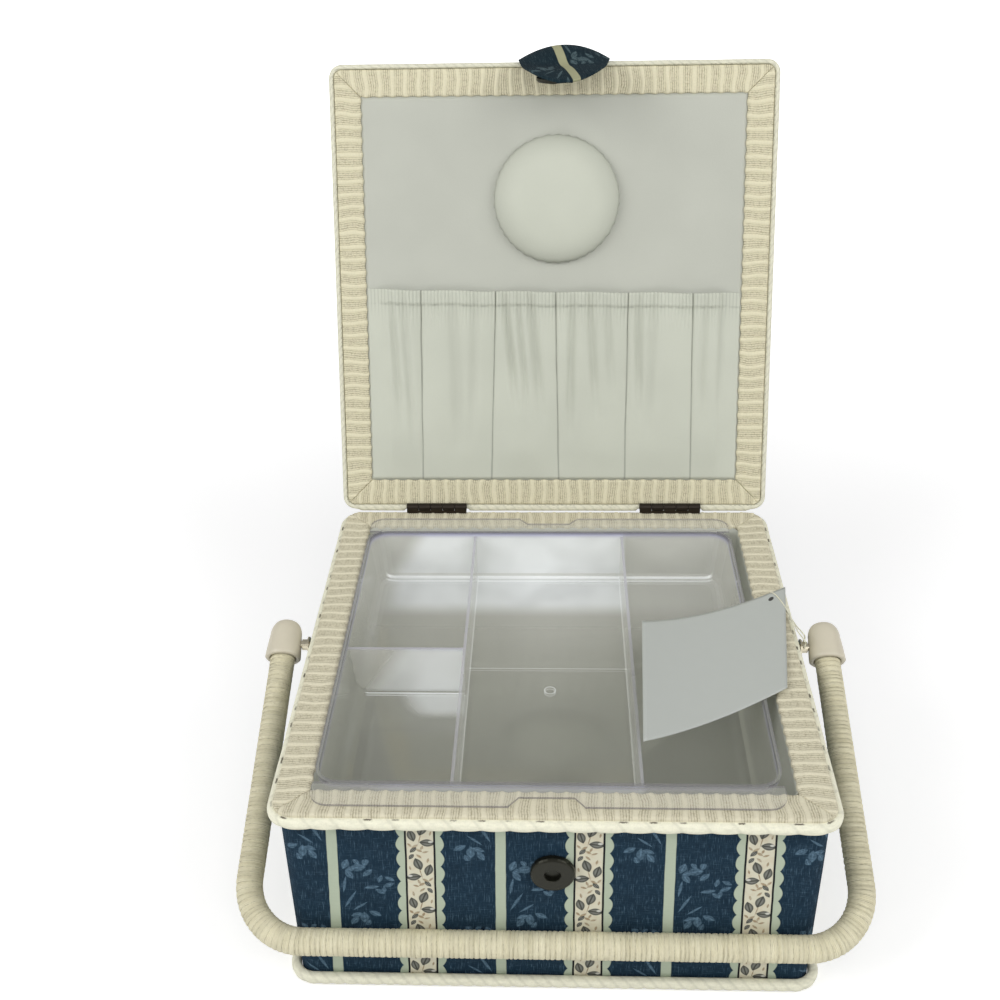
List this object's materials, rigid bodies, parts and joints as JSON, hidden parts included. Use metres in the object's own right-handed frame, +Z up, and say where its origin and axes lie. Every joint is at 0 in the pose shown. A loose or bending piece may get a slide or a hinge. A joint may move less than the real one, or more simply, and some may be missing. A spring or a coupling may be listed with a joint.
{
  "type": "sewing basket",
  "caption": "Fabric-covered square sewing basket with a hinged padded lid, a corded bail handle, a snap closure tab and a clear divided lift-out tray.",
  "frame": {"origin": "centre of the flat base on the surface it stands on", "axes": "+X to the basket's right seen from the front, +Y to the back where the hinges are, +Z up"},
  "size_m": [0.32, 0.3744, 0.3845],
  "materials": {
    "navy_print_fabric": "woven cotton, matt",
    "cream_woven_band": "corded braid, matt",
    "cream_cord": "braided and wound cord, matt",
    "satin_lining": "satin",
    "fibreboard": "plain",
    "foam": "plain",
    "bronze_metal": "dark bronze",
    "nickel_metal": "bright",
    "cream_plastic": "smooth",
    "clear_plastic": "clear",
    "cane": "plain"
  },
  "bodies": {
    "box": {"base_cloth": "navy_print_fabric", "base_board": "fibreboard", "front_board": "fibreboard", "back_board": "fibreboard", "left_board": "fibreboard", "right_board": "fibreboard", "outer_fabric_cover": "navy_print_fabric", "satin_lining": "satin_lining", "rim_band_back": "cream_woven_band", "rim_band_left": "cream_woven_band", "rim_band_front": "cream_woven_band", "rim_band_right": "cream_woven_band", "top_braid_cord": "cream_cord", "base_braid_cord": "cream_cord", "snap_socket": "bronze_metal", "snap_washer": "nickel_metal", "hinge_leaf_box_left": "bronze_metal", "hinge_leaf_box_right": "bronze_metal", "hinge_pin_left": "nickel_metal", "hinge_pin_right": "nickel_metal", "box_hinge_left_screw_left": "bronze_metal", "box_hinge_left_screw_right": "bronze_metal", "box_hinge_right_screw_left": "bronze_metal", "box_hinge_right_screw_right": "bronze_metal", "pivot_stud_left": "nickel_metal", "pivot_stud_right": "nickel_metal", "pivot_washer_left": "nickel_metal", "pivot_washer_right": "nickel_metal", "pivot_nut_left": "nickel_metal", "pivot_nut_right": "nickel_metal"},
    "lid": {"lid_board": "fibreboard", "lid_padding": "foam", "lid_fabric_cover": "navy_print_fabric", "lid_lining": "satin_lining", "lid_band_back": "cream_woven_band", "lid_band_left": "cream_woven_band", "lid_band_front": "cream_woven_band", "lid_band_right": "cream_woven_band", "lid_piping": "cream_cord", "pincushion": "satin_lining", "pocket_cloth": "satin_lining", "pocket_elastic": "satin_lining", "hinge_leaf_lid_left": "bronze_metal", "hinge_leaf_lid_right": "bronze_metal", "lid_hinge_left_screw_left": "bronze_metal", "lid_hinge_left_screw_right": "bronze_metal", "lid_hinge_right_screw_left": "bronze_metal", "lid_hinge_right_screw_right": "bronze_metal"},
    "tab_root": {"closure_tab_root": "navy_print_fabric"},
    "tab": {"closure_tab_end": "navy_print_fabric", "snap_cap": "bronze_metal"},
    "handle": {"handle_core": "cane", "handle_cord_wrap": "cream_cord", "end_cap_left": "cream_plastic", "end_cap_right": "cream_plastic"},
    "tray": {"clear_tray": "clear_plastic"}
  },
  "joints": [
    {"name": "lid_hinge", "type": "hinge", "parent": "box", "child": "lid", "pos_m": [0, 0.1325, 0.121], "axis": [-1, 0, 0], "range_deg": [-109.2, 0]},
    {"name": "tab_droop", "type": "hinge", "parent": "lid", "child": "tab_root", "pos_m": [0, 0.22886, 0.3743], "axis": [-1, 0, 0], "range_deg": [0, 15]},
    {"name": "tab_flex", "type": "hinge", "parent": "tab_root", "child": "tab", "pos_m": [0, 0.19057, 0.37711], "axis": [-1, 0, 0], "range_deg": [0, 75]},
    {"name": "handle_swing", "type": "hinge", "parent": "box", "child": "handle", "pos_m": [0, 0.004, 0.11], "axis": [-1, 0, 0], "range_deg": [0, 160]},
    {"name": "tray_lift", "type": "slide", "parent": "box", "child": "tray", "axis": [0, 0, 1], "range_m": [0, 0.08]}
  ],
  "couplings": [
    {"joint": "tab_droop", "follows": "lid_hinge", "ratio": -0.13736}
  ]
}
